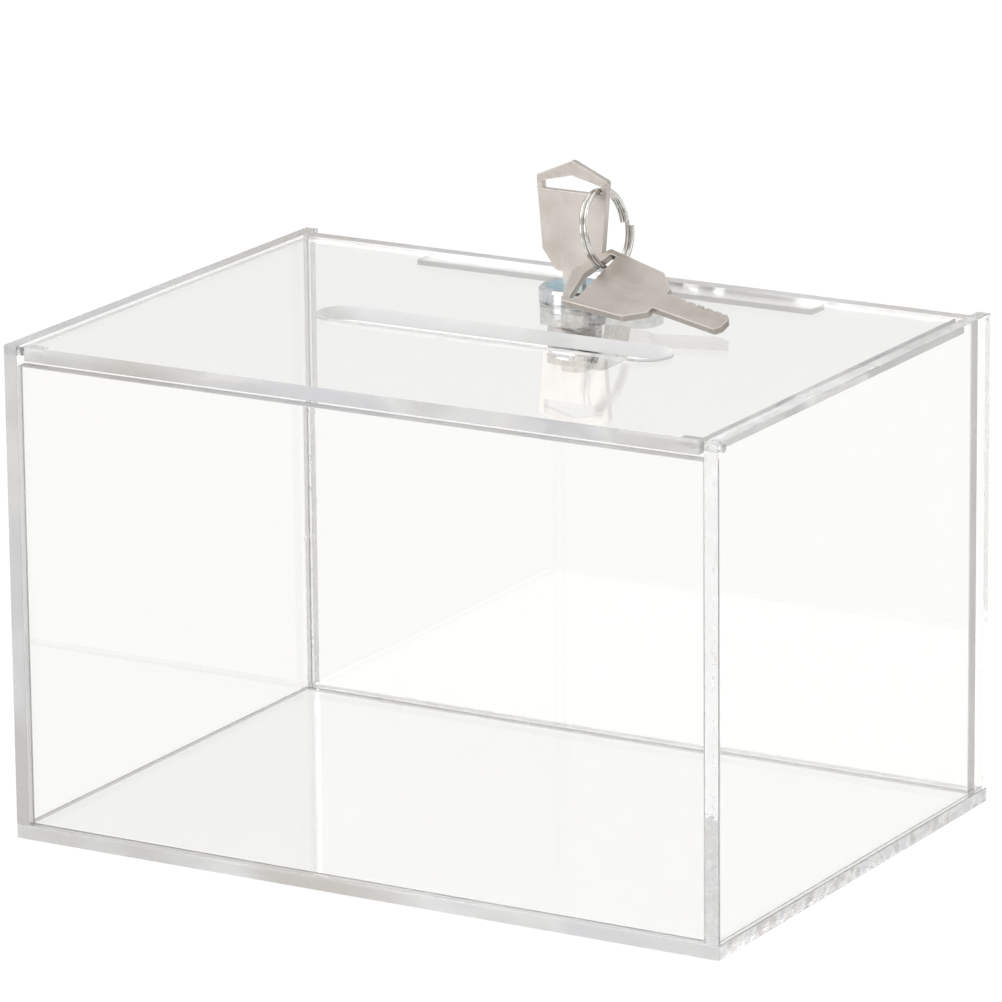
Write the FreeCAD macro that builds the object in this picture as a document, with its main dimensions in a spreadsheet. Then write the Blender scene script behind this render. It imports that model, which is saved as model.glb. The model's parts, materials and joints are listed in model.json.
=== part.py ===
"""Clear acrylic donation box with a cam lock in its hinged lid, two keys and a split ring.

Millimetres. +Z is up, the front faces -Y, and the origin is the centre of the base's underside.
"""
import FreeCAD, Part
import Sketcher
import math
import os

from FreeCAD import Matrix, Placement, Rotation, Vector

DIMENSIONS = {
    # Acrylic sheets
    "box_length": (160.0, "outer size along X"),
    "box_depth": (114.0, "outer size along Y"),
    "box_height": (102.0, "outer size along Z, without the lock"),
    "sheet": (3.0, "acrylic sheet thickness"),
    "back_inset": (3.2, "side panels' rear edges to the back panel's outer face"),
    "lid_side_gap": (1.4, "lid's end to the side panel"),
    "lid_front_inset": (0.6, "front face of the box to the lid's front edge"),
    "lid_rear_gap": (0.5, "lid's rear edge to the back panel"),
    "lid_front_gap": (0.9, "lid's underside to the front panel's top edge"),
    "strip_length": (92.0, "catch strip along X"),
    "strip_depth": (5.6, "catch strip along Y"),
    "strip_thick": (1.2, "catch strip along Z"),
    # Donation slot
    "slot_length": (80.0, "end to end"),
    "slot_width": (11.4, "full-radius ends"),
    "slot_y": (-2.8, "slot's centre"),
    # Hinge
    "hinge_setback": (1.8, "lid's front edge to the hinge axis"),
    "hinge_pin": (1.6, "pin diameter"),
    "hinge_hole": (1.72, "pin hole in the lid's end"),
    "hinge_hole_depth": (4.2, "pin hole in the lid's end"),
    "hinge_reach": (4.0, "length of pin inside the lid"),
    # Lock housing, washer and nut
    "lock_y": (30.0, "lock axis"),
    "flange": (14.5, "housing flange diameter"),
    "flange_thick": (2.4, "housing flange above the lid"),
    "flange_edge": (0.5, "bevel round the flange"),
    "barrel": (11.0, "threaded barrel diameter"),
    "barrel_flats": (9.6, "across the barrel's two flats"),
    "barrel_length": (13.5, "barrel's end below the lid's top face"),
    "lock_hole": (11.1, "double-D hole in the lid"),
    "lock_hole_flats": (9.7, "across the hole's flats"),
    "bore": (7.6, "housing bore for the plug"),
    "face_bore": (11.52, "housing counterbore for the plug's head"),
    "face_bore_depth": (1.23, "housing counterbore for the plug's head"),
    "wafer_groove": (8.5, "across the bore's wafer grooves"),
    "wafer_groove_width": (3.3, "each wafer groove"),
    "wafer_groove_length": (13.0, "from the barrel's end upwards"),
    "lug_inner": (4.75, "inner radius of the stop lug under the barrel"),
    "lug_outer": (5.45, "outer radius of the stop lug"),
    "lug_height": (0.65, "stop lug below the barrel"),
    "lug_angle": (149.0, "arc of the stop lug, in degrees"),
    "nut_flats": (14.0, "hex nut across flats"),
    "nut_thick": (3.5, "hex nut"),
    "washer": (14.4, "lock washer's outer diameter"),
    "washer_hole": (11.06, "lock washer's hole"),
    "washer_thick": (0.5, "lock washer"),
    # Plug, wafers and springs
    "plug": (7.5, "plug's body diameter"),
    "plug_face": (11.4, "plug's head diameter"),
    "plug_face_thick": (1.2, "plug's head"),
    "keyway_width": (4.9, "keyway along X"),
    "keyway_gap": (1.8, "keyway along Y"),
    "keyway_depth": (15.3, "keyway from the plug's face"),
    "wafer_slot_width": (3.1, "cross slot along Y"),
    "wafer_slot_height": (0.9, "cross slot along Z"),
    "wafer_first": (2.9, "plug's face to the first wafer's middle"),
    "wafer_pitch": (2.3, "wafer spacing along Z"),
    "wafer_count": (5.0, "wafers in the plug"),
    "wafer_length": (7.3, "wafer's round ends"),
    "wafer_width": (3.0, "wafer along Y"),
    "wafer_thick": (0.8, "wafer along Z"),
    "window_length": (4.86, "wafer's window along X"),
    "window_width": (1.9, "wafer's window along Y"),
    "spring_slot": (4.4, "spring pocket along X"),
    "spring_slot_reach": (2.9, "spring pocket's far wall from the axis"),
    "ear_x": (1.7, "wafer ear's centre from the axis, along -X"),
    "ear_y": (2.0, "wafer ear's centre from the axis"),
    "ear_length": (0.8, "wafer ear along X"),
    "ear_width": (1.3, "wafer ear along Y"),
    "spring_y": (2.2, "spring's axis from the plug's axis"),
    "spring_radius": (0.3, "spring's mean coil radius"),
    "spring_wire": (0.14, "spring wire diameter"),
    "spring_turns": (4.0, "turns in each spring"),
    "tang": (5.0, "square tang under the plug"),
    "tang_length": (2.15, "square tang"),
    "tang_fit": (5.06, "square holes on the tang"),
    # Cam and its fixings
    "axial_play": (0.03, "barrel's end to the stop washer"),
    "stop_radius": (4.55, "stop washer's round part"),
    "stop_ear": (5.4, "stop washer's ear radius"),
    "stop_ear_angle": (120.0, "arc of the ear, in degrees"),
    "stop_thick": (0.7, "stop washer"),
    "cam_thick": (1.5, "cam"),
    "cam_width": (9.0, "cam"),
    "cam_heel": (5.5, "lock axis to the cam's blunt end"),
    "cam_bend_inner": (7.8, "lower bend, inside"),
    "cam_bend_outer": (8.9, "lower bend, outside"),
    "cam_rise_inner": (9.9, "upper bend, inside"),
    "cam_rise_outer": (11.0, "upper bend, outside"),
    "cam_reach": (19.5, "lock axis to the cam's tip"),
    "cam_tip_low": (9.73, "cam's underside to the tip's underside"),
    "cam_tip_high": (11.23, "cam's underside to the tip's top"),
    "cam_round": (3.5, "corner radius of the cam's ends"),
    "cam_washer": (7.0, "cam washer's outer diameter"),
    "cam_washer_hole": (3.2, "cam washer's hole"),
    "cam_washer_thick": (0.4, "cam washer"),
    "screw_head": (5.6, "cam screw's head diameter"),
    "screw_head_thick": (1.3, "cam screw's head"),
    "screw": (3.0, "cam screw's shank diameter"),
    "screw_length": (2.6, "cam screw's shank"),
    "screw_hole_depth": (2.25, "threaded hole from the tang's end"),
    "driver_slot": (0.8, "width of the slot across the head"),
    "driver_slot_depth": (0.6, "depth of the slot across the head"),
    # Keys
    "key_thick": (1.6, "key blank"),
    "key_standoff": (2.8, "plug's face to the foot of the bow"),
    "bow_neck": (3.75, "bow's half width at its foot"),
    "bow_foot": (6.95, "bow's half width above the taper"),
    "bow_shoulder": (8.25, "bow's half width at the shoulders"),
    "bow_foot_up": (4.3, "top of the taper above the bow's foot"),
    "bow_shoulder_up": (19.4, "shoulders above the bow's foot"),
    "bow_peak_up": (23.0, "peak above the bow's foot"),
    "bow_round": (0.8, "corner radius at the shoulders"),
    "eye_end": (6.9, "half length of the bow's hole"),
    "eye_floor": (6.7, "half length of the hole's straight lower edge"),
    "eye_low_up": (16.6, "hole's lower edge above the bow's foot"),
    "eye_end_up": (18.3, "hole's end corners above the bow's foot"),
    "eye_top_up": (20.0, "hole's upper corner above the bow's foot"),
    "blade_half": (2.3, "half width of the blade"),
    "blade_side_down": (15.9, "blade's parallel length below the bow's foot"),
    "blade_down": (16.9, "blade's tip below the bow's foot"),
    "blade_tip_half": (1.1, "half width of the blade's tip"),
    "blade_overlap": (1.0, "blade's root above the bow's foot"),
    "notch_first": (5.7, "first key cut below the bow's foot"),
    "notch_depth": (0.7, "key cut"),
    "notch_half": (0.85, "half width of a key cut at the blade's edge"),
    # Split ring
    "ring_radius": (8.0, "mean radius"),
    "ring_wire": (1.0, "wire diameter"),
    "ring_pitch": (1.06, "from turn to turn"),
    "ring_turns": (1.985, "turns"),
    "ring_offset": (1.0176, "ring's centre to the coil's start, along its axis"),
    "ring_top_x": (5.81, "where the ring hangs in the key's hole"),
    "ring_top_clear": (0.27, "ring above the lower edge of the key's hole"),
    "ring_lean_x": (0.197, "hang of the ring towards +X, per unit down"),
    "ring_lean_y": (-0.01, "hang of the ring along Y, per unit down"),
    "ring_yaw": (87.5, "heading of the ring's plane, in degrees from +X"),
    # Spare key
    "spare_x": (6.52, "middle of its shoulder line"),
    "spare_y": (23.48, "middle of its shoulder line"),
    "spare_z": (108.25, "middle of its shoulder line"),
    "spare_heading": (-11.3, "blade's heading from +X, in degrees"),
    "spare_dip": (7.1, "blade's slope downwards, in degrees"),
    "spare_roll": (29.4, "bow's rear edge up, in degrees"),
}

doc = FreeCAD.newDocument("donation_box")
sheet = doc.addObject("Spreadsheet::Sheet", "dims")
for row, (alias, (value, meaning)) in enumerate(DIMENSIONS.items(), start=1):
    sheet.set(f"A{row}", alias)
    sheet.set(f"B{row}", str(value))
    sheet.set(f"C{row}", meaning)
    sheet.setAlias(f"B{row}", alias)
doc.recompute()

nodes = []


def size(alias):
    """The number in the sheet's cell."""
    return float(getattr(sheet, alias))


def bound(expression):
    """The expression with each alias read from the sheet."""
    words = expression.replace("(", " ( ").replace(")", " ) ").split()
    return " ".join(f"dims.{word}" if word in DIMENSIONS else word for word in words)


# Sketches and PartDesign features


def add_body(label, x=None, y=None, z=None):
    """A new body, with its placement bound to the sheet."""
    body = doc.addObject("PartDesign::Body", label)
    body.Label = label
    for axis, expression in (("x", x), ("y", y), ("z", z)):
        if expression:
            body.setExpression(f"Placement.Base.{axis}", bound(expression))
    nodes.append(body)
    return body


def add_sketch(body, plane="XY_Plane", x=None, y=None, z=None):
    """A sketch on one of the body's origin planes, with an offset in the sketch's own axes."""
    sketch = body.newObject("Sketcher::SketchObject", f"{body.Label}_sketch")
    support = next(item for item in body.Origin.OriginFeatures if item.Role == plane)
    sketch.AttachmentSupport = [(support, "")]
    sketch.MapMode = "FlatFace"
    for axis, expression in (("x", x), ("y", y), ("z", z)):
        if expression:
            sketch.setExpression(f"AttachmentOffset.Base.{axis}", bound(expression))
    return sketch


def constrain(sketch, *arguments, to=None):
    """Adds a constraint, bound to the sheet if to is given."""
    index = sketch.addConstraint(Sketcher.Constraint(*arguments))
    if to:
        sketch.setExpression(f"Constraints[{index}]", bound(to))


def circle(sketch, diameter):
    """A circle round the sketch's origin."""
    ring = sketch.addGeometry(Part.Circle(Vector(), Vector(0, 0, 1), 5.0))
    constrain(sketch, "Coincident", ring, 3, -1, 1)
    constrain(sketch, "Diameter", ring, 10.0, to=diameter)


def rectangle(sketch, width, height):
    """A rectangle round the sketch's origin."""
    corners = [Vector(-5, -5, 0), Vector(5, -5, 0), Vector(5, 5, 0), Vector(-5, 5, 0)]
    lines = [
        sketch.addGeometry(Part.LineSegment(corners[i], corners[(i + 1) % 4]))
        for i in range(4)
    ]
    for i in range(4):
        constrain(sketch, "Coincident", lines[i], 2, lines[(i + 1) % 4], 1)
        constrain(sketch, "Vertical" if i % 2 else "Horizontal", lines[i])
    constrain(sketch, "Symmetric", lines[0], 1, lines[2], 1, -1, 1)
    constrain(sketch, "DistanceX", lines[0], 1, lines[0], 2, 10.0, to=width)
    constrain(sketch, "DistanceY", lines[1], 1, lines[1], 2, 10.0, to=height)


def hexagon(sketch, across_flats):
    """A hexagon round the sketch's origin, with two flats facing +Y and -Y."""
    radius = size(across_flats) / math.sqrt(3)
    corners = [
        Vector(radius * math.cos(math.radians(60 * i)), radius * math.sin(math.radians(60 * i)), 0)
        for i in range(6)
    ]
    guide = sketch.addGeometry(Part.Circle(Vector(), Vector(0, 0, 1), radius), True)
    constrain(sketch, "Coincident", guide, 3, -1, 1)
    lines = [
        sketch.addGeometry(Part.LineSegment(corners[i], corners[(i + 1) % 6]))
        for i in range(6)
    ]
    for i in range(6):
        constrain(sketch, "Coincident", lines[i], 2, lines[(i + 1) % 6], 1)
        constrain(sketch, "PointOnObject", lines[i], 1, guide)
    for i in range(1, 6):
        constrain(sketch, "Equal", lines[0], lines[i])
    constrain(sketch, "Horizontal", lines[1])
    constrain(sketch, "DistanceY", lines[4], 1, lines[1], 1, size(across_flats), to=across_flats)


def round_ended(sketch, length, width):
    """A stadium along X round the sketch's origin."""
    radius = size(width) / 2
    reach = size(length) / 2 - radius
    left = sketch.addGeometry(
        Part.ArcOfCircle(
            Part.Circle(Vector(-reach, 0, 0), Vector(0, 0, 1), radius), math.pi / 2, 3 * math.pi / 2
        )
    )
    right = sketch.addGeometry(
        Part.ArcOfCircle(
            Part.Circle(Vector(reach, 0, 0), Vector(0, 0, 1), radius), -math.pi / 2, math.pi / 2
        )
    )
    low = sketch.addGeometry(
        Part.LineSegment(Vector(-reach, -radius, 0), Vector(reach, -radius, 0))
    )
    high = sketch.addGeometry(
        Part.LineSegment(Vector(reach, radius, 0), Vector(-reach, radius, 0))
    )
    constrain(sketch, "Tangent", left, 2, low, 1)
    constrain(sketch, "Tangent", low, 2, right, 1)
    constrain(sketch, "Tangent", right, 2, high, 1)
    constrain(sketch, "Tangent", high, 2, left, 1)
    constrain(sketch, "Symmetric", left, 3, right, 3, -1, 1)
    constrain(sketch, "Horizontal", low)
    constrain(sketch, "Radius", left, radius, to=f"{width} / 2")
    constrain(sketch, "DistanceX", left, 3, right, 3, 2 * reach, to=f"{length} - {width}")


def double_d(sketch, diameter, flats):
    """A circle round the sketch's origin, cut by two flats that face +Y and -Y."""
    radius = size(diameter) / 2
    half = size(flats) / 2
    start = math.asin(half / radius)
    reach = radius * math.cos(start)
    whole = Part.Circle(Vector(), Vector(0, 0, 1), radius)
    right = sketch.addGeometry(Part.ArcOfCircle(whole, -start, start))
    left = sketch.addGeometry(Part.ArcOfCircle(whole, math.pi - start, math.pi + start))
    high = sketch.addGeometry(Part.LineSegment(Vector(reach, half, 0), Vector(-reach, half, 0)))
    low = sketch.addGeometry(Part.LineSegment(Vector(-reach, -half, 0), Vector(reach, -half, 0)))
    constrain(sketch, "Coincident", right, 2, high, 1)
    constrain(sketch, "Coincident", high, 2, left, 1)
    constrain(sketch, "Coincident", left, 2, low, 1)
    constrain(sketch, "Coincident", low, 2, right, 1)
    constrain(sketch, "Coincident", right, 3, -1, 1)
    constrain(sketch, "Coincident", left, 3, -1, 1)
    constrain(sketch, "Horizontal", high)
    constrain(sketch, "Horizontal", low)
    constrain(sketch, "Diameter", right, 2 * radius, to=diameter)
    constrain(sketch, "DistanceY", low, 1, high, 2, 2 * half, to=flats)


def signed_size(part):
    """The value of an alias with its sign, such as -bow_foot, or of 0."""
    if part == "0":
        return 0.0
    if part.startswith("-"):
        return -size(part[1:])
    return size(part)


def outline(sketch, points):
    """A closed outline. A point is two aliases, each with its sign, or 0 on an axis."""
    corners = [Vector(signed_size(x), signed_size(y), 0) for x, y in points]
    count = len(corners)
    lines = [
        sketch.addGeometry(Part.LineSegment(corners[i], corners[(i + 1) % count]))
        for i in range(count)
    ]
    for i, point in enumerate(points):
        constrain(sketch, "Coincident", lines[i], 2, lines[(i + 1) % count], 1)
        for part, kind, axis in zip(point, ("DistanceX", "DistanceY"), (-2, -1)):
            if part == "0":
                constrain(sketch, "PointOnObject", lines[i], 1, axis)
            elif part.startswith("-"):
                alias = part[1:]
                constrain(sketch, kind, lines[i], 1, -1, 1, size(alias), to=alias)
            else:
                constrain(sketch, kind, -1, 1, lines[i], 1, size(part), to=part)


def pad(body, sketch, length, both_ways=False):
    """Adds the sketch's area, extruded along its normal."""
    feature = body.newObject("PartDesign::Pad", f"{body.Label}_pad")
    feature.Profile = sketch
    feature.setExpression("Length", bound(length))
    if both_ways:
        feature.SideType = "Symmetric"
    doc.recompute()
    return feature


def pocket(body, sketch, length=None, reverse=False):
    """Cuts the sketch's area, right through both ways where no length is given."""
    before = body.Shape.Volume
    feature = body.newObject("PartDesign::Pocket", f"{body.Label}_pocket")
    feature.Profile = sketch
    if length:
        feature.setExpression("Length", bound(length))
        feature.Reversed = reverse
    else:
        feature.Type = "ThroughAll"
        feature.SideType = "Symmetric"
    doc.recompute()
    if not feature.Shape.Volume < before - 1e-3:
        raise RuntimeError(f"{feature.Label} cuts nothing")
    return feature


def repeat(body, feature, sketch, pitch, count):
    """Repeats a feature downwards along the sketch's vertical axis."""
    pattern = body.newObject("PartDesign::LinearPattern", f"{body.Label}_pattern")
    pattern.Originals = [feature]
    pattern.Direction = (sketch, ["V_Axis"])
    pattern.Reversed = True
    pattern.setExpression("Length", bound(f"{pitch} * ( {count} - 1 )"))
    pattern.setExpression("Occurrences", bound(count))
    body.Tip = pattern
    doc.recompute()


def edge_names(feature, wanted):
    """The names of the feature's straight edges whose two ends both pass the test."""
    return [
        f"Edge{i}"
        for i, edge in enumerate(feature.Shape.Edges, start=1)
        if isinstance(edge.Curve, Part.Line) and wanted(*[vertex.Point for vertex in edge.Vertexes])
    ]


def fillet(body, feature, radius, wanted):
    """Rounds the chosen edges."""
    rounded = body.newObject("PartDesign::Fillet", f"{body.Label}_fillet")
    rounded.Base = (feature, edge_names(feature, wanted))
    rounded.setExpression("Radius", bound(radius))
    doc.recompute()


def add_shape(label, shape, placement):
    """A sub-part whose shape is made with Part's own functions."""
    item = doc.addObject("Part::Feature", label)
    item.Label = label
    item.Shape = shape
    item.Placement = placement
    nodes.append(item)


# Levels and places that several sub-parts share

LID_Z = "box_height - sheet"
HINGE_Y = "lid_front_inset + hinge_setback - box_depth / 2"
HINGE_Z = "box_height - sheet / 2"
BACK_FACE = "box_depth / 2 - back_inset - sheet"
FACE_Z = "box_height + flange_thick"
BARREL_END = "box_height - barrel_length"
STOP_Z = f"{BARREL_END} - axial_play - stop_thick"
CAM_Z = f"{STOP_Z} - cam_thick"
CAM_WASHER_Z = f"{CAM_Z} - cam_washer_thick"
KEY_Z = f"{FACE_Z} + key_standoff"


# Acrylic box


def sheet_panel(label, width, depth, height, y=None, z=None):
    """An upright or flat panel, with its length along X."""
    body = add_body(label, y=y, z=z)
    sketch = add_sketch(body)
    rectangle(sketch, width, depth)
    pad(body, sketch, height)


def side_panel(label, side):
    """An upright end panel with a hole for its hinge pin near the top front corner."""
    body = add_body(label, z="sheet")
    sketch = add_sketch(body, x=f"{side} * ( box_length - sheet ) / 2")
    rectangle(sketch, "sheet", "box_depth")
    pad(body, sketch, "box_height - sheet")
    hole = add_sketch(body, "YZ_Plane", x=HINGE_Y, y=f"{HINGE_Z} - sheet")
    circle(hole, "hinge_pin")
    pocket(body, hole)


def hinge_pin(label, side):
    """A pin pressed into the side panel that reaches into the lid's end."""
    body = add_body(label, y=HINGE_Y, z=HINGE_Z)
    length = "( sheet + lid_side_gap + hinge_reach )"
    sketch = add_sketch(body, "YZ_Plane", z=f"{side} * ( box_length - {length} ) / 2")
    circle(sketch, "hinge_pin")
    pad(body, sketch, length, both_ways=True)


def make_lid():
    """The lid, with the donation slot, the lock's hole and a pin hole in each end."""
    body = add_body("lid", z=LID_Z)
    depth = "( box_depth - back_inset - sheet - lid_rear_gap - lid_front_inset )"
    blank = add_sketch(
        body, y="( lid_front_inset - back_inset - sheet - lid_rear_gap ) / 2"
    )
    rectangle(blank, "box_length - 2 * sheet - 2 * lid_side_gap", depth)
    pad(body, blank, "sheet")
    slot = add_sketch(body, y="slot_y")
    round_ended(slot, "slot_length", "slot_width")
    pocket(body, slot)
    hole = add_sketch(body, y="lock_y")
    double_d(hole, "lock_hole", "lock_hole_flats")
    pocket(body, hole)
    for side, reverse in (("1", False), ("-1", True)):
        pin_hole = add_sketch(
            body,
            "YZ_Plane",
            x=HINGE_Y,
            y="sheet / 2",
            z=f"{side} * ( box_length / 2 - sheet - lid_side_gap )",
        )
        circle(pin_hole, "hinge_hole")
        pocket(body, pin_hole, "hinge_hole_depth", reverse)


def make_box():
    """The glued panels, the strip that the cam catches, and the hinge pins."""
    inside = "box_length - 2 * sheet"
    sheet_panel("base_panel", "box_length", "box_depth", "sheet")
    sheet_panel(
        "front_panel",
        inside,
        "sheet",
        "box_height - 2 * sheet - lid_front_gap",
        y="( sheet - box_depth ) / 2",
        z="sheet",
    )
    sheet_panel(
        "back_panel", inside, "sheet", "box_height - sheet", y=f"{BACK_FACE} + sheet / 2", z="sheet"
    )
    sheet_panel(
        "catch_strip",
        "strip_length",
        "strip_depth",
        "strip_thick",
        y=f"{BACK_FACE} - strip_depth / 2",
        z=f"{LID_Z} - strip_thick",
    )
    for name, side in (("left", "-1"), ("right", "1")):
        side_panel(f"{name}_panel", side)
        hinge_pin(f"hinge_pin_{name}", side)


# Lock


def make_housing():
    """The housing: a flange on the lid and a threaded barrel with two flats through it."""
    body = add_body("lock_housing", y="lock_y", z="box_height")
    barrel = add_sketch(body, z="-1 * barrel_length")
    double_d(barrel, "barrel", "barrel_flats")
    pad(body, barrel, "barrel_length")
    flange = add_sketch(body)
    circle(flange, "flange")
    head = pad(body, flange, "flange_thick")
    bevel = body.newObject("PartDesign::Chamfer", "flange_bevel")
    rim = [
        f"Edge{i}"
        for i, edge in enumerate(head.Shape.Edges, start=1)
        if edge.CenterOfMass.z > size("flange_thick") - 1e-3
    ]
    bevel.Base = (head, rim)
    bevel.setExpression("Size", bound("flange_edge"))
    doc.recompute()
    lug = add_sketch(body, z="-1 * barrel_length - lug_height")
    arc_lug(lug)
    pad(body, lug, "lug_height")
    bore = add_sketch(body)
    circle(bore, "bore")
    pocket(body, bore)
    face_bore = add_sketch(body, z="flange_thick")
    circle(face_bore, "face_bore")
    pocket(body, face_bore, "face_bore_depth")
    for width, height in (
        ("wafer_groove", "wafer_groove_width"),
        ("wafer_groove_width", "wafer_groove"),
    ):
        groove = add_sketch(body, z="-1 * barrel_length")
        rectangle(groove, width, height)
        pocket(body, groove, "wafer_groove_length", reverse=True)


def arc_lug(sketch):
    """The stop lug's outline: a ring sector centred on the -X-Y side of the axis."""
    middle = math.radians(225)
    half = math.radians(size("lug_angle") / 2)
    start, end = middle - half, middle + half
    inner = Part.Circle(Vector(), Vector(0, 0, 1), size("lug_inner"))
    outer = Part.Circle(Vector(), Vector(0, 0, 1), size("lug_outer"))
    arcs = [
        sketch.addGeometry(Part.ArcOfCircle(whole, start, end)) for whole in (inner, outer)
    ]
    sides = [
        sketch.addGeometry(Part.LineSegment(inner.value(angle), outer.value(angle)))
        for angle in (start, end)
    ]
    for i, side in enumerate(sides, start=1):
        constrain(sketch, "Coincident", side, 1, arcs[0], i)
        constrain(sketch, "Coincident", side, 2, arcs[1], i)
        angle = start if i == 1 else end
        constrain(sketch, "Angle", -1, 1, side, 1, angle)
    for arc, radius in zip(arcs, ("lug_inner", "lug_outer")):
        constrain(sketch, "Coincident", arc, 3, -1, 1)
        constrain(sketch, "Radius", arc, size(radius), to=radius)


def make_fixing():
    """The nut and the washer that clamp the housing in the lid."""
    nut = add_body("lock_nut", y="lock_y", z=f"{LID_Z} - washer_thick - nut_thick")
    blank = add_sketch(nut)
    hexagon(blank, "nut_flats")
    pad(nut, blank, "nut_thick")
    thread = add_sketch(nut)
    circle(thread, "barrel")
    pocket(nut, thread)
    ring("lock_washer", "washer", "washer_hole", "washer_thick", f"{LID_Z} - washer_thick")


def ring(label, outer, inner, thickness, z):
    """A flat washer on the lock's axis."""
    body = add_body(label, y="lock_y", z=z)
    disc = add_sketch(body)
    circle(disc, outer)
    pad(body, disc, thickness)
    hole = add_sketch(body)
    circle(hole, inner)
    pocket(body, hole)


def make_plug():
    """The plug, with its head, keyway, wafer slots, spring pockets, square tang and screw hole."""
    body = add_body("lock_plug", y="lock_y", z=FACE_Z)
    core = add_sketch(body, z="-1 * flange_thick - barrel_length")
    circle(core, "plug")
    pad(body, core, "flange_thick + barrel_length")
    head = add_sketch(body, z="-1 * plug_face_thick")
    circle(head, "plug_face")
    pad(body, head, "plug_face_thick")
    tang = add_sketch(body, z="-1 * flange_thick - barrel_length - tang_length")
    rectangle(tang, "tang", "tang")
    pad(body, tang, "tang_length")
    keyway = add_sketch(body)
    rectangle(keyway, "keyway_width", "keyway_gap")
    pocket(body, keyway, "keyway_depth")
    slot = add_sketch(body, "YZ_Plane", y="-1 * wafer_first")
    rectangle(slot, "wafer_slot_width", "wafer_slot_height")
    repeat(body, pocket(body, slot), slot, "wafer_pitch", "wafer_count")
    spring_slot = add_sketch(body, "XZ_Plane", y="-1 * wafer_first")
    rectangle(spring_slot, "spring_slot", "wafer_slot_height")
    cut = pocket(body, spring_slot, "spring_slot_reach")
    repeat(body, cut, spring_slot, "wafer_pitch", "wafer_count")
    screw_hole = add_sketch(body, z="-1 * flange_thick - barrel_length - tang_length")
    circle(screw_hole, "screw")
    pocket(body, screw_hole, "screw_hole_depth", reverse=True)


def make_wafers():
    """The wafers in the plug, each with its spring, shown as the right key holds them."""
    for i in range(round(size("wafer_count"))):
        middle = f"{FACE_Z} - wafer_first - {i} * wafer_pitch"
        body = add_body(f"wafer_{i + 1}", y="lock_y", z=f"{middle} - wafer_thick / 2")
        plate = add_sketch(body)
        double_d(plate, "wafer_length", "wafer_width")
        pad(body, plate, "wafer_thick")
        ear = add_sketch(body, x="-1 * ear_x", y="ear_y")
        rectangle(ear, "ear_length", "ear_width")
        pad(body, ear, "wafer_thick")
        window = add_sketch(body)
        rectangle(window, "window_length", "window_width")
        pocket(body, window)
        wafer_spring(i)


def wafer_spring(index):
    """A coil spring that lies along X between a wafer's ear and the pocket's end."""
    start = size("ear_length") / 2 - size("ear_x") + size("spring_wire")
    end = size("spring_slot") / 2 - size("spring_wire")
    length = end - start
    radius = size("spring_radius")
    path = Part.makeHelix(length / size("spring_turns"), length, radius)
    section = Part.Wire(Part.makeCircle(size("spring_wire") / 2, Vector(radius, 0, 0), Vector(0, 1, 0)))
    coil = Part.Wire(path).makePipeShell([section], True, True)
    height = size("box_height") + size("flange_thick") - size("wafer_first")
    place = Vector(start, size("lock_y") + size("spring_y"), height - index * size("wafer_pitch"))
    along_x = Rotation(Vector(0, 0, 1), Vector(1, 0, 0))
    add_shape(f"wafer_spring_{index + 1}", coil, Placement(place, along_x))


def make_cam_group():
    """The stop washer, the cranked cam, and the washer and screw that hold them on the tang."""
    stop = add_body("stop_washer", y="lock_y", z=STOP_Z)
    disc = add_sketch(stop)
    circle(disc, "stop_radius * 2")
    pad(stop, disc, "stop_thick")
    ear = add_sketch(stop)
    sector(ear, "stop_ear", "stop_ear_angle")
    pad(stop, ear, "stop_thick")
    square = add_sketch(stop)
    rectangle(square, "tang_fit", "tang_fit")
    pocket(stop, square)

    cam = add_body("cam", y="lock_y", z=CAM_Z)
    profile = add_sketch(cam, "XZ_Plane")
    outline(
        profile,
        [
            ("-cam_heel", "0"),
            ("cam_bend_outer", "0"),
            ("cam_rise_outer", "cam_tip_low"),
            ("cam_reach", "cam_tip_low"),
            ("cam_reach", "cam_tip_high"),
            ("cam_rise_inner", "cam_tip_high"),
            ("cam_bend_inner", "cam_thick"),
            ("-cam_heel", "cam_thick"),
        ],
    )
    blank = pad(cam, profile, "cam_width", both_ways=True)
    ends = (-size("cam_heel"), size("cam_reach"))
    fillet(
        cam,
        blank,
        "cam_round",
        lambda a, b: abs(a.z - b.z) > 1e-3 and any(abs(a.x - b.x) + abs(a.x - x) < 1e-3 for x in ends),
    )
    square = add_sketch(cam)
    rectangle(square, "tang_fit", "tang_fit")
    pocket(cam, square, "cam_thick", reverse=True)

    ring("cam_washer", "cam_washer", "cam_washer_hole", "cam_washer_thick", CAM_WASHER_Z)

    screw = add_body("cam_screw", y="lock_y", z=CAM_WASHER_Z)
    head = add_sketch(screw, z="-1 * screw_head_thick")
    circle(head, "screw_head")
    pad(screw, head, "screw_head_thick")
    shank = add_sketch(screw)
    circle(shank, "screw")
    pad(screw, shank, "screw_length")
    slot = add_sketch(screw, z="-1 * screw_head_thick")
    rectangle(slot, "screw_head * 1.1", "driver_slot")
    pocket(screw, slot, "driver_slot_depth", reverse=True)


def sector(sketch, radius, angle):
    """A pie slice round the sketch's origin, centred on +X."""
    half = math.radians(size(angle) / 2)
    whole = Part.Circle(Vector(), Vector(0, 0, 1), size(radius))
    arc = sketch.addGeometry(Part.ArcOfCircle(whole, -half, half))
    for end, turn in ((1, -half), (2, half)):
        side = sketch.addGeometry(Part.LineSegment(Vector(), whole.value(turn)))
        constrain(sketch, "Coincident", side, 1, -1, 1)
        constrain(sketch, "Coincident", side, 2, arc, end)
        constrain(sketch, "Angle", -1, 1, side, 1, turn)
    constrain(sketch, "Coincident", arc, 3, -1, 1)
    constrain(sketch, "Radius", arc, size(radius), to=radius)


# Keys and ring


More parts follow.
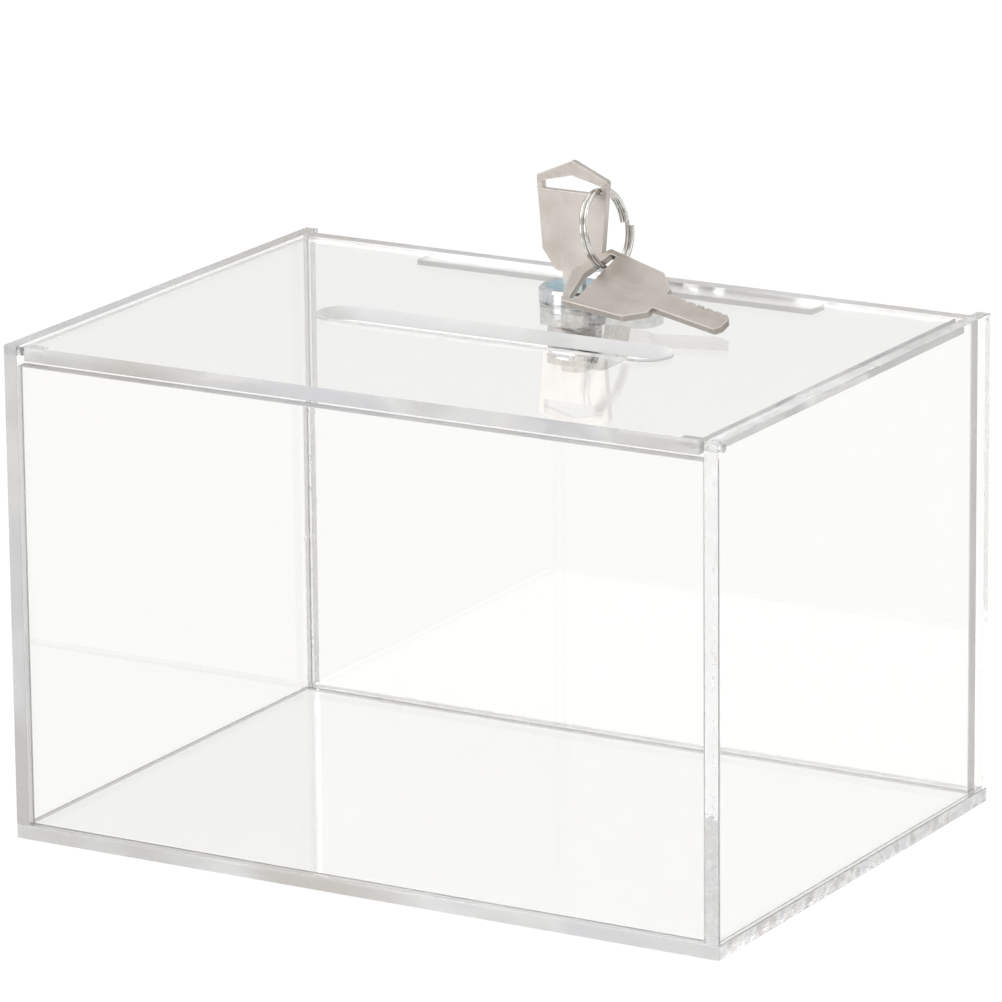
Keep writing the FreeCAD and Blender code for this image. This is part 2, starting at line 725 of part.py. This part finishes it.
def make_key(label):
    """A flat key in the XZ plane. Its origin is the foot of the bow, and the blade points down."""
    body = add_body(label)
    bow = add_sketch(body, "XZ_Plane")
    outline(
        bow,
        [
            ("-bow_neck", "0"),
            ("bow_neck", "0"),
            ("bow_foot", "bow_foot_up"),
            ("bow_shoulder", "bow_shoulder_up"),
            ("0", "bow_peak_up"),
            ("-bow_shoulder", "bow_shoulder_up"),
            ("-bow_foot", "bow_foot_up"),
        ],
    )
    plate = pad(body, bow, "key_thick", both_ways=True)
    shoulder_up = size("bow_shoulder_up")
    fillet(
        body,
        plate,
        "bow_round",
        lambda a, b: abs(a.z - shoulder_up) < 1e-3 and abs(b.z - shoulder_up) < 1e-3,
    )
    blade = add_sketch(body, "XZ_Plane")
    outline(
        blade,
        [
            ("-blade_tip_half", "-blade_down"),
            ("blade_tip_half", "-blade_down"),
            ("blade_half", "-blade_side_down"),
            ("blade_half", "blade_overlap"),
            ("-blade_half", "blade_overlap"),
            ("-blade_half", "-blade_side_down"),
        ],
    )
    pad(body, blade, "key_thick", both_ways=True)
    eye = add_sketch(body, "XZ_Plane")
    outline(
        eye,
        [
            ("-eye_floor", "eye_low_up"),
            ("eye_floor", "eye_low_up"),
            ("eye_end", "eye_end_up"),
            ("0", "eye_top_up"),
            ("-eye_end", "eye_end_up"),
        ],
    )
    pocket(body, eye)
    cut = add_sketch(body, "XZ_Plane", x="blade_half", y="-1 * notch_first")
    outline(cut, [("-notch_depth", "0"), ("notch_half", "-notch_half"), ("notch_half", "notch_half")])
    repeat(body, pocket(body, cut), cut, "wafer_pitch", "wafer_count")
    return body


def axes_rotation(x_axis, y_axis, z_axis):
    """The rotation that takes a body's own X, Y and Z to these directions."""
    frame = Matrix(
        x_axis.x, y_axis.x, z_axis.x, 0,
        x_axis.y, y_axis.y, z_axis.y, 0,
        x_axis.z, y_axis.z, z_axis.z, 0,
        0, 0, 0, 1,
    )
    return Placement(frame).Rotation


def place_spare(body):
    """Lays the spare key beside the lock, with its bow on the ring and its tip just over the lid."""
    middle = Vector(size("spare_x"), size("spare_y"), size("spare_z"))
    roll = Rotation(Vector(1, 0, 0), size("spare_roll"))
    dip = Rotation(Vector(0, 1, 0), size("spare_dip"))
    heading = Rotation(Vector(0, 0, 1), size("spare_heading"))
    lie = heading.multiply(dip).multiply(roll)
    bow_up = lie.multVec(Vector(-1, 0, 0))
    bow_wide = lie.multVec(Vector(0, 1, 0))
    turn = axes_rotation(bow_wide, bow_up.cross(bow_wide), bow_up)
    body.Placement = Placement(middle - bow_up * size("bow_shoulder_up"), turn)


def ring_axes():
    """The split ring's top point, its centre, its normal and its direction of hang."""
    top = Vector(
        size("ring_top_x"),
        size("lock_y"),
        size("box_height") + size("flange_thick") + size("key_standoff")
        + size("eye_low_up") + size("ring_wire") / 2 + size("ring_top_clear"),
    )
    down = Vector(size("ring_lean_x"), size("ring_lean_y"), -1).normalize()
    yaw = math.radians(size("ring_yaw"))
    level = Vector(math.cos(yaw), math.sin(yaw), 0)
    across = (level - down * level.dot(down)).normalize()
    return top, top + down * size("ring_radius"), down.cross(across), down


def make_ring():
    """The split ring: a close coil of nearly two turns that links the two keys."""
    radius = size("ring_radius")
    pitch = size("ring_pitch")
    height = pitch * size("ring_turns")
    path = Part.makeHelix(pitch, height, radius)
    section = Part.Wire(Part.makeCircle(size("ring_wire") / 2, Vector(radius, 0, 0), Vector(0, 1, 0)))
    coil = Part.Wire(path).makePipeShell([section], True, True)
    _, centre, normal, down = ring_axes()
    start = centre - normal * size("ring_offset")
    across = normal.cross(down)
    turn = axes_rotation(down, across, normal)
    add_shape("split_ring", coil, Placement(start, turn.multiply(Rotation(Vector(0, 0, 1), 90))))


def make_keys():
    """The key in the lock, the split ring and the spare key."""
    key = make_key("key")
    key.setExpression("Placement.Base.y", bound("lock_y"))
    key.setExpression("Placement.Base.z", bound(KEY_Z))
    make_ring()
    place_spare(make_key("spare_key"))


def check_and_write():
    """Stops on a failed feature or a bad shape, then writes each sub-part."""
    doc.recompute()
    failed = [item.Label for item in doc.Objects if {"Invalid", "Error"} & set(item.State)]
    for node in nodes:
        if node.Shape.isNull() or not node.Shape.isValid() or len(node.Shape.Solids) != 1:
            failed.append(node.Label)
    if failed:
        raise RuntimeError(f"failed: {failed}")
    os.makedirs("parts", exist_ok=True)
    for node in nodes:
        node.Shape.exportStep(f"parts/{node.Label}.step")


make_box()
make_lid()
make_housing()
make_fixing()
make_plug()
make_wafers()
make_cam_group()
make_keys()
check_and_write()
top, centre, normal, _ = ring_axes()
print("split ring: top", top, "centre", centre, "normal", normal)
print("spare key:", doc.getObject("spare_key").Placement)
print(len(nodes), "nodes")
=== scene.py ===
"""Looks for a clear acrylic donation box with a cam lock and two keys on a split ring."""

import json
import math

import bpy
import numpy as np
from mathutils import Matrix, Vector


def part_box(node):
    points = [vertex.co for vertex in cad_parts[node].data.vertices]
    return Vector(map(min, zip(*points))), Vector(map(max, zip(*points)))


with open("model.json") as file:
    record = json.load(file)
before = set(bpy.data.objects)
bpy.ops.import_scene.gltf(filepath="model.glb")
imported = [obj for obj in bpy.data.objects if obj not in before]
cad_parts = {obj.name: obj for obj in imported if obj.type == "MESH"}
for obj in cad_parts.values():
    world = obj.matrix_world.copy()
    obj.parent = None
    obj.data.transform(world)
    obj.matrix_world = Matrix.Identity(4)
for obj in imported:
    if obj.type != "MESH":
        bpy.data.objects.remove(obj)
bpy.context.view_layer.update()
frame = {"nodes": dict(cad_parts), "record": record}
nodes = frame["nodes"]
record_slots = {row["node"]: row["material_slot"] for row in frame["record"]["subparts"]}

# Lengths are in metres, apart from the lens and the sensor's width, which are in millimetres
THREAD_PITCH = 0.001
ACRYLIC_IOR = 1.49
PANEL_BEVEL = 0.00018
PANEL_GAP = 0.00004
KEY_BEVEL = 0.00015
LOCK_BEVEL = 0.0001
WELD_REACH = 0.000002
SHARP_ANGLE = math.radians(40)
DRAW_OUT = 0.985
FLOOR_REACH = 8
FLOOR_DROP = 0.0002
LIGHT_BOUNCES = 64
LENS = 265.6
SENSOR_WIDTH = 36.0
CAMERA_PLACE = (0.71544, -1.22757, 0.45774)
CAMERA_AIM = (-0.48554, 0.83295, -0.26541)
CAMERA_ROLL = math.radians(-0.563)


# Node helpers


class Graph:
    """A material's node tree, with short calls for the nodes used here."""

    def __init__(self, name):
        self.material = bpy.data.materials.new(name)
        self.material.use_nodes = True
        self.tree = self.material.node_tree
        self.tree.nodes.clear()
        self.shader = self.add("ShaderNodeBsdfPrincipled")
        output = self.add("ShaderNodeOutputMaterial")
        self.tree.links.new(self.shader.outputs["BSDF"], output.inputs["Surface"])

    def add(self, kind, **settings):
        made = self.tree.nodes.new(kind)
        for key, value in settings.items():
            setattr(made, key, value)
        return made

    def join(self, source, target):
        self.tree.links.new(source, target)

    def set(self, **values):
        """Sets the shader's own sockets. A word's underscores stand for spaces."""
        for key, value in values.items():
            self.shader.inputs[key.replace("_", " ")].default_value = value

    def place(self, stretch=(1, 1, 1)):
        """Coordinates fixed to the piece, in metres, with each axis scaled."""
        coords = self.add("ShaderNodeTexCoord")
        mapping = self.add("ShaderNodeMapping")
        mapping.inputs["Scale"].default_value = stretch
        self.join(coords.outputs["Object"], mapping.inputs["Vector"])
        return mapping.outputs["Vector"]

    def noise(self, vector, scale, detail=4.0, rough=0.5, twist=0.0):
        made = self.add("ShaderNodeTexNoise")
        numbers = (("Scale", scale), ("Detail", detail), ("Roughness", rough), ("Distortion", twist))
        for key, value in numbers:
            made.inputs[key].default_value = value
        self.join(vector, made.inputs["Vector"])
        return made.outputs["Fac"]

    def ramp(self, source, *stops):
        """A colour ramp through (position, colour or grey level) stops."""
        made = self.add("ShaderNodeValToRGB")
        ends = made.color_ramp.elements
        while len(ends) < len(stops):
            ends.new(0.5)
        for end, (position, colour) in zip(ends, stops):
            end.position = position
            end.color = (*colour, 1) if isinstance(colour, tuple) else (colour, colour, colour, 1)
        self.join(source, made.inputs["Fac"])
        return made.outputs["Color"]

    def span(self, source, low, high, from_low=0.0, from_high=1.0):
        """Moves a value from one range to another."""
        made = self.add("ShaderNodeMapRange")
        numbers = (("From Min", from_low), ("From Max", from_high), ("To Min", low), ("To Max", high))
        for key, value in numbers:
            made.inputs[key].default_value = value
        self.join(source, made.inputs["Value"])
        return made.outputs["Result"]

    def maths(self, operation, first, second):
        made = self.add("ShaderNodeMath", operation=operation)
        for socket, value in zip(made.inputs, (first, second)):
            if isinstance(value, (int, float)):
                socket.default_value = value
            else:
                self.join(value, socket)
        return made.outputs[0]

    def mix(self, share, first, second):
        """A colour mix. A share or colour may be a value or a socket."""
        made = self.add("ShaderNodeMix", data_type="RGBA")
        sockets = [made.inputs[0], made.inputs[6], made.inputs[7]]
        for socket, value in zip(sockets, (share, first, second)):
            if isinstance(value, tuple):
                socket.default_value = (*value, 1)
            elif isinstance(value, (int, float)):
                socket.default_value = value
            else:
                self.join(value, socket)
        return made.outputs[2]

    def bump(self, height, distance, strength=1.0, under=None):
        made = self.add("ShaderNodeBump")
        made.inputs["Distance"].default_value = distance
        made.inputs["Strength"].default_value = strength
        self.join(height, made.inputs["Height"])
        if under is not None:
            self.join(under, made.inputs["Normal"])
        return made.outputs["Normal"]

    def edge_wear(self, radius):
        """0 on flat faces and near 1 on edges, from a rounded normal against the true one."""
        bevel = self.add("ShaderNodeBevel", samples=4)
        bevel.inputs["Radius"].default_value = radius
        geometry = self.add("ShaderNodeNewGeometry")
        dot = self.add("ShaderNodeVectorMath", operation="DOT_PRODUCT")
        self.join(bevel.outputs["Normal"], dot.inputs[0])
        self.join(geometry.outputs["Normal"], dot.inputs[1])
        return self.span(dot.outputs["Value"], 1.0, 0.0, 0.8, 0.995)


# Materials


def clear_sheet(name, tint):
    """Polished faces of cast acrylic: nearly colourless, very slightly wavy, with faint handling marks."""
    g = Graph(name)
    g.set(Base_Color=(*tint, 1), Transmission_Weight=1.0, IOR=ACRYLIC_IOR, Roughness=0.0)
    wave = g.bump(g.noise(g.place(), 14, 1), 0.00003)
    marks = g.span(g.noise(g.place((900, 60, 900)), 1, 2), 0, 1, 0.62, 0.8)
    g.join(g.bump(marks, 0.000002, 0.5, wave), g.shader.inputs["Normal"])
    return g.material


def cut_edge(name, tints, rough, ripple, stretch, clear=0.55, patch=22):
    """Cut edges of the sheet. Fine cutter marks scatter the share of the light that isn't clear. The tints
    paint light and shade into that share: darker tints make an edge look greyer than the faces, paler ones
    brighter. The edges ripple where they were milled. patch is the scale of the tint's patches."""
    g = Graph(name)
    places = (0.38, 0.47, 0.53, 0.6)
    tint = g.ramp(g.noise(g.place(), patch, 2), *zip(places, tints))
    g.join(tint, g.shader.inputs["Base Color"])
    g.set(Transmission_Weight=clear, IOR=ACRYLIC_IOR, Roughness=rough)
    wave = g.noise(g.place(stretch), 1, 2, 0.6, 0.3)
    g.join(g.bump(wave, ripple, 0.5), g.shader.inputs["Normal"])
    return g.material


def plated(name, dark, light, rough, thread=False):
    """Bright metal, plated or plain, with cloudy tone, fine marks and worn edges, and a thread if asked."""
    g = Graph(name)
    cloud = g.ramp(g.noise(g.place(), 350, 4), (0.35, dark), (0.65, light))
    worn = g.mix(g.edge_wear(0.0003), cloud, tuple(min(1, 1.12 * c) for c in light))
    g.join(worn, g.shader.inputs["Base Color"])
    g.set(Metallic=1.0)
    marks = g.noise(g.place((2500, 2500, 500)), 1, 3)
    g.join(g.span(marks, rough * 0.7, rough * 1.6, 0.35, 0.75), g.shader.inputs["Roughness"])
    normal = g.bump(marks, 0.000012, 0.6)
    if thread:
        normal = thread_bump(g, normal)
    g.join(normal, g.shader.inputs["Normal"])
    return g.material


def thread_bump(g, under):
    """A screw thread below the lid, as a ramp that climbs round the lock's axis."""
    coords = g.add("ShaderNodeTexCoord")
    split = g.add("ShaderNodeSeparateXYZ")
    g.join(coords.outputs["Object"], split.inputs["Vector"])
    low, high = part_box("lock_housing")
    centre = (low + high) / 2
    x = g.maths("SUBTRACT", split.outputs["X"], centre.x)
    y = g.maths("SUBTRACT", split.outputs["Y"], centre.y)
    turn = g.maths("DIVIDE", g.maths("ARCTAN2", y, x), 2 * math.pi)
    climb = g.maths("ADD", g.maths("MULTIPLY", split.outputs["Z"], 1 / THREAD_PITCH), turn)
    groove = g.maths("PINGPONG", climb, 0.5)
    lid_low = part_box("lid")[0].z
    below = g.span(split.outputs["Z"], 1.0, 0.0, lid_low - 0.0005, lid_low)
    return g.bump(g.maths("MULTIPLY", groove, below), 0.0009, 1.0, under)


def turned_face():
    """Blue passivated zinc on the plug's face: cool blue with a faint green and violet cast."""
    g = Graph("blue_zinc")
    cast = g.noise(g.place(), 260, 2, 0.5, 1.5)
    tints = ((0.3, (0.30, 0.50, 0.60)), (0.5, (0.42, 0.62, 0.70)), (0.7, (0.56, 0.66, 0.80)))
    hue = g.ramp(cast, *tints)
    g.join(g.mix(g.edge_wear(0.0003), hue, (0.75, 0.82, 0.86)), g.shader.inputs["Base Color"])
    g.set(Metallic=1.0)
    marks = g.noise(g.place((3000, 3000, 900)), 1, 3)
    g.join(g.span(marks, 0.18, 0.4, 0.35, 0.7), g.shader.inputs["Roughness"])
    g.join(g.bump(marks, 0.00002, 0.6), g.shader.inputs["Normal"])
    return g.material


def brushed_key(name, along, shade):
    """Nickel silver with rolled-sheet cloudiness and rubbed edges, brushed along the blade. The grain is
    noise drawn out along the blade. shade scales the tones, apart from the rubbed edges': above 1 it is
    painted light, below 1 painted shade."""
    g = Graph(name)
    place = g.add("ShaderNodeTexCoord")
    spread = g.add("ShaderNodeVectorMath", operation="DOT_PRODUCT")
    spread.inputs[1].default_value = along
    g.join(place.outputs["Object"], spread.inputs[0])
    shift = g.add("ShaderNodeVectorMath", operation="SCALE")
    shift.inputs[0].default_value = along
    g.join(g.maths("MULTIPLY", spread.outputs["Value"], -DRAW_OUT), shift.inputs["Scale"])
    drawn = g.add("ShaderNodeVectorMath", operation="ADD")
    g.join(place.outputs["Object"], drawn.inputs[0])
    g.join(shift.outputs["Vector"], drawn.inputs[1])
    grain = g.noise(drawn.outputs["Vector"], 5200, 3, 0.6)
    cloud = g.noise(g.place(), 140, 3)
    dark, light, streak = (
        tuple(shade * c for c in tone)
        for tone in ((0.48, 0.435, 0.395), (0.60, 0.555, 0.515), (0.72, 0.68, 0.645))
    )
    base = g.ramp(cloud, (0.3, dark), (0.7, light))
    streaked = g.mix(g.span(grain, 0.0, 0.4, 0.4, 0.75), base, streak)
    worn = g.mix(g.maths("MULTIPLY", g.edge_wear(0.0004), 0.8), streaked, (0.84, 0.81, 0.78))
    g.join(worn, g.shader.inputs["Base Color"])
    g.set(Metallic=1.0)
    g.join(g.span(grain, 0.3, 0.5, 0.3, 0.7), g.shader.inputs["Roughness"])
    wave = g.bump(g.noise(g.place(), 220, 2), 0.00004)
    g.join(g.bump(grain, 0.000014, 0.8, wave), g.shader.inputs["Normal"])
    return g.material


def long_axis(node):
    """The direction in which a node is longest."""
    points = np.array([vertex.co for vertex in nodes[node].data.vertices])
    spread = np.cov((points - points.mean(axis=0)).T)
    return np.linalg.eigh(spread)[1][:, -1].tolist()


SHEET = clear_sheet("clear_sheet", (1.0, 0.998, 0.994))
# The walls' faces get a faint grey tint that the base and lid of the same sheet don't have: painted shade,
# which darkens what is seen through the walls.
SHADED_WALL = clear_sheet("clear_wall_painted_shade", (0.965, 0.962, 0.955))

# Four tints of a cut edge, in the order in which its patches run from one to the next. The sheet is
# colourless, so the tints are painted light and shade, set edge by edge: TAUPE is painted shade on the
# other panels' edges, MIXED, PALE and WHITE are painted light on the base's and lid's outer edges, the
# right panel's edges and the slot's walls, and MOTTLED is patches of painted light and shade on the base's
# milled ends.
TAUPE = ((0.64, 0.615, 0.59), (0.70, 0.68, 0.67), (0.78, 0.77, 0.77), (0.68, 0.68, 0.70))
MIXED = ((0.74, 0.71, 0.68), (0.84, 0.83, 0.82), (0.96, 0.96, 0.96), (0.83, 0.83, 0.86))
MOTTLED = ((0.68, 0.66, 0.64), (0.86, 0.85, 0.84), (0.98, 0.97, 0.95), (0.79, 0.80, 0.83))
WHITE = ((0.97, 0.97, 0.96), (0.98, 0.98, 0.98), (1.0, 1.0, 1.0), (0.98, 0.98, 0.99))
PALE = ((0.93, 0.92, 0.91), (0.97, 0.97, 0.96), (1.0, 1.0, 0.99), (0.95, 0.95, 0.97))
EDGE = cut_edge("cut_edge", TAUPE, 0.1, 0.00004, (160, 160, 60), clear=0.5)
# The base's and lid's outer edges get paler tints than the other panels' edges of the same sheet: painted
# light.
POLISHED_PAINTED_LIGHT_EDGE = cut_edge("polished_painted_light_edge", MIXED, 0.02, 0.00003, (160, 160, 60), clear=0.6)
# The base's milled ends get high-contrast patches of pale and dark tints: painted light and painted shade.
# The ripples themselves are the bump.
MILLED_LIGHT_AND_SHADE_EDGE = cut_edge("milled_light_and_shade_edge", MOTTLED, 0.06, 0.00009, (330, 330, 110), patch=260)
# The right panel's edges get pale tints and a larger clear share than the other panels' edges of the same
# sheet: painted light, for the brighter look of that side.
MILLED_PAINTED_LIGHT_EDGE = cut_edge(
    "milled_painted_light_edge", PALE, 0.02, 0.00016, (160, 160, 330), clear=0.85, patch=260
)
# The walls of the lid's slot and lock hole get near-white tints and little clear share: painted light, which
# makes them read bright.
SLOT_PAINTED_LIGHT_EDGE = cut_edge("slot_painted_light_edge", WHITE, 0.02, 0.00003, (120, 120, 120), clear=0.25)
EDGE_OF = {"base_panel": POLISHED_PAINTED_LIGHT_EDGE, "right_panel": MILLED_PAINTED_LIGHT_EDGE, "lid": POLISHED_PAINTED_LIGHT_EDGE}
SPECIAL_EDGE_OF = {"base_panel": MILLED_LIGHT_AND_SHADE_EDGE, "lid": SLOT_PAINTED_LIGHT_EDGE}
FINISHES = {
    "chromed_zinc": plated(
        "chromed_zinc", (0.48, 0.50, 0.53), (0.70, 0.71, 0.73), 0.12, thread=True
    ),
    "blue_zinc": turned_face(),
    "zinc_plate": plated("zinc_plate", (0.50, 0.50, 0.48), (0.68, 0.68, 0.66), 0.22),
    "nickel_plate": plated("nickel_plate", (0.58, 0.56, 0.53), (0.74, 0.72, 0.69), 0.12),
    "brass": plated("brass", (0.60, 0.43, 0.20), (0.80, 0.62, 0.32), 0.25),
    "spring_steel": plated("spring_steel", (0.40, 0.40, 0.40), (0.56, 0.56, 0.56), 0.3),
}
# The two keys are one metal. Their shade values paint light and shade: the key's tones are 3% lighter and the
# spare's 15% darker, for how the light falls on each.
KEYS = {
    node: brushed_key(f"{node}_metal", long_axis(node), shade)
    for node, shade in (("key", 1.03), ("spare_key", 0.85))
}


def thin_axis(node):
    """The axis across a sheet's thickness."""
    low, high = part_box(node)
    sides = high - low
    return min(range(3), key=lambda axis: sides[axis])


def make_normals_group():
    """A modifier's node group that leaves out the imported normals, which don't suit rounded edges."""
    group = bpy.data.node_groups.new("plain_normals", "GeometryNodeTree")
    group.interface.new_socket("Geometry", in_out="INPUT", socket_type="NodeSocketGeometry")
    group.interface.new_socket("Geometry", in_out="OUTPUT", socket_type="NodeSocketGeometry")
    source = group.nodes.new("NodeGroupInput")
    remove = group.nodes.new("GeometryNodeRemoveAttribute")
    remove.inputs["Name"].default_value = "custom_normal"
    target = group.nodes.new("NodeGroupOutput")
    group.links.new(source.outputs[0], remove.inputs["Geometry"])
    group.links.new(remove.outputs["Geometry"], target.inputs[0])
    return group


PLAIN_NORMALS = make_normals_group()


def soften(node, width, gap=0.0, rim=-1):
    """Welds a node's split corners, draws each corner in by gap along its normal and rounds the sharp edges
    a little. It is all done with modifiers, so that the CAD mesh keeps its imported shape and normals. rim is
    the material slot of the rounded strips. With -1, they keep their neighbours' material."""
    piece = nodes[node]
    plain = piece.modifiers.new("plain_normals", "NODES")
    plain.node_group = PLAIN_NORMALS
    weld = piece.modifiers.new("weld", "WELD")
    weld.merge_threshold = WELD_REACH
    if gap:
        shrink = piece.modifiers.new("gap", "DISPLACE")
        shrink.strength = -gap
        shrink.mid_level = 0.0
    bevel = piece.modifiers.new("bevel", "BEVEL")
    bevel.width = width
    bevel.segments = 2
    bevel.limit_method = "ANGLE"
    bevel.angle_limit = SHARP_ANGLE
    bevel.use_clamp_overlap = True
    bevel.material = rim


def finish(node, *materials):
    """Gives a node its materials."""
    piece = nodes[node]
    piece.data.materials.clear()
    for material in materials:
        piece.data.materials.append(material)


def is_special(node, face):
    """True for the walls of the lid's slot and lock hole, and for the base's milled ends."""
    if node == "base_panel":
        return abs(face.normal.x) > 0.9
    low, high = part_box(node)
    middle = face.center
    inset = min(middle.x - low.x, high.x - middle.x, middle.y - low.y, high.y - middle.y)
    return node == "lid" and inset > 0.005


for node, slot in record_slots.items():
    if slot != "clear_acrylic":
        finish(node, KEYS.get(node) or FINISHES[slot])
        continue
    sheet = SHEET if node in ("base_panel", "lid") else SHADED_WALL
    finish(node, sheet, EDGE_OF.get(node, EDGE), SPECIAL_EDGE_OF.get(node, EDGE))
    if node.startswith("hinge"):
        continue
    axis = thin_axis(node)
    for face in nodes[node].data.polygons:
        if abs(face.normal[axis]) < 0.9:
            face.material_index = 2 if is_special(node, face) else 1
    soften(node, PANEL_BEVEL, gap=PANEL_GAP, rim=1)
for node in ("key", "spare_key"):
    soften(node, KEY_BEVEL)
for node in ("cam", "lock_nut"):
    soften(node, LOCK_BEVEL)


# Stage, light and camera

floor_mesh = bpy.data.meshes.new("floor")
corners = [(x * FLOOR_REACH, y * FLOOR_REACH, 0) for x, y in ((-1, -1), (1, -1), (1, 1), (-1, 1))]
floor_mesh.from_pydata(corners, [], [(0, 1, 2, 3)])
floor = bpy.data.objects.new("floor", floor_mesh)
floor.location.z = -FLOOR_DROP
bpy.context.scene.collection.objects.link(floor)
ground = Graph("floor_white")
paleness = ground.ramp(ground.noise(ground.place(), 3, 2), (0.2, 0.012), (0.8, 0.02))
ground.join(paleness, ground.shader.inputs["Base Color"])
ground.set(Roughness=1.0, Specular_IOR_Level=0.0)
ground.set(Emission_Color=(1, 1, 0.995, 1), Emission_Strength=1.02)
floor_mesh.materials.append(ground.material)

world = bpy.data.worlds.new("studio")
bpy.context.scene.world = world
world.use_nodes = True
sky = world.node_tree
sky.nodes.clear()


def sky_add(kind, **settings):
    made = sky.nodes.new(kind)
    for key, value in settings.items():
        setattr(made, key, value)
    return made


coords = sky_add("ShaderNodeTexCoord")
split = sky_add("ShaderNodeSeparateXYZ")
sky.links.new(coords.outputs["Generated"], split.inputs["Vector"])
height = sky_add("ShaderNodeValToRGB")
stops = height.color_ramp.elements
made_stops = (stops[0], stops[1], stops.new(0.2), stops.new(0.6))
levels = ((0.0, 0.5), (1.0, 0.5), (0.2, 0.72), (0.45, 0.75))
for stop, (position, level) in zip(made_stops, levels):
    stop.position = position
    stop.color = (level, level * 0.995, level * 0.985, 1)
sky.links.new(split.outputs["Z"], height.inputs["Fac"])
background = sky_add("ShaderNodeBackground")
background.inputs["Strength"].default_value = 1.0
sky.links.new(height.outputs["Color"], background.inputs["Color"])
sky_out = sky_add("ShaderNodeOutputWorld")
sky.links.new(background.outputs["Background"], sky_out.inputs["Surface"])


def softbox(name, place, aim, width, depth, power):
    """A rectangular area light, with its power in watts."""
    light = bpy.data.lights.new(name, "AREA")
    light.shape = "RECTANGLE"
    light.size = width
    light.size_y = depth
    light.energy = power
    item = bpy.data.objects.new(name, light)
    item.location = place
    item.rotation_euler = (Vector(aim) - Vector(place)).to_track_quat("-Z", "Y").to_euler()
    bpy.context.scene.collection.objects.link(item)


softbox("key_light", (-0.9, -0.7, 1.6), (0, 0, 0.05), 1.2, 1.2, 9)
softbox("top_light", (0.2, 0.5, 1.9), (0, 0, 0.05), 1.8, 1.2, 2)
softbox("front_light", (-0.9, -1.7, 0.55), (0, 0, 0.1), 0.9, 0.7, 5)
softbox("right_light", (1.5, 0.2, 0.9), (0, 0, 0.06), 0.7, 1.2, 3)

forward = Vector(CAMERA_AIM).normalized()
right = forward.cross(Vector((0, 0, 1))).normalized()
up = right.cross(forward)
right_rolled = right * math.cos(CAMERA_ROLL) + up * math.sin(CAMERA_ROLL)
up_rolled = up * math.cos(CAMERA_ROLL) - right * math.sin(CAMERA_ROLL)
camera_data = bpy.data.cameras.new("camera")
camera_data.lens = LENS
camera_data.sensor_width = SENSOR_WIDTH
camera = bpy.data.objects.new("camera", camera_data)
camera.matrix_world = Matrix.Translation(CAMERA_PLACE) @ Matrix(
    (
        (right_rolled.x, up_rolled.x, -forward.x, 0),
        (right_rolled.y, up_rolled.y, -forward.y, 0),
        (right_rolled.z, up_rolled.z, -forward.z, 0),
        (0, 0, 0, 1),
    )
)
bpy.context.scene.collection.objects.link(camera)
bpy.context.scene.camera = camera

bpy.context.scene.view_settings.view_transform = "Standard"
bpy.context.scene.cycles.max_bounces = LIGHT_BOUNCES
bpy.context.scene.cycles.transmission_bounces = LIGHT_BOUNCES
bpy.context.scene.cycles.glossy_bounces = LIGHT_BOUNCES
bpy.context.scene.cycles.use_denoising = True
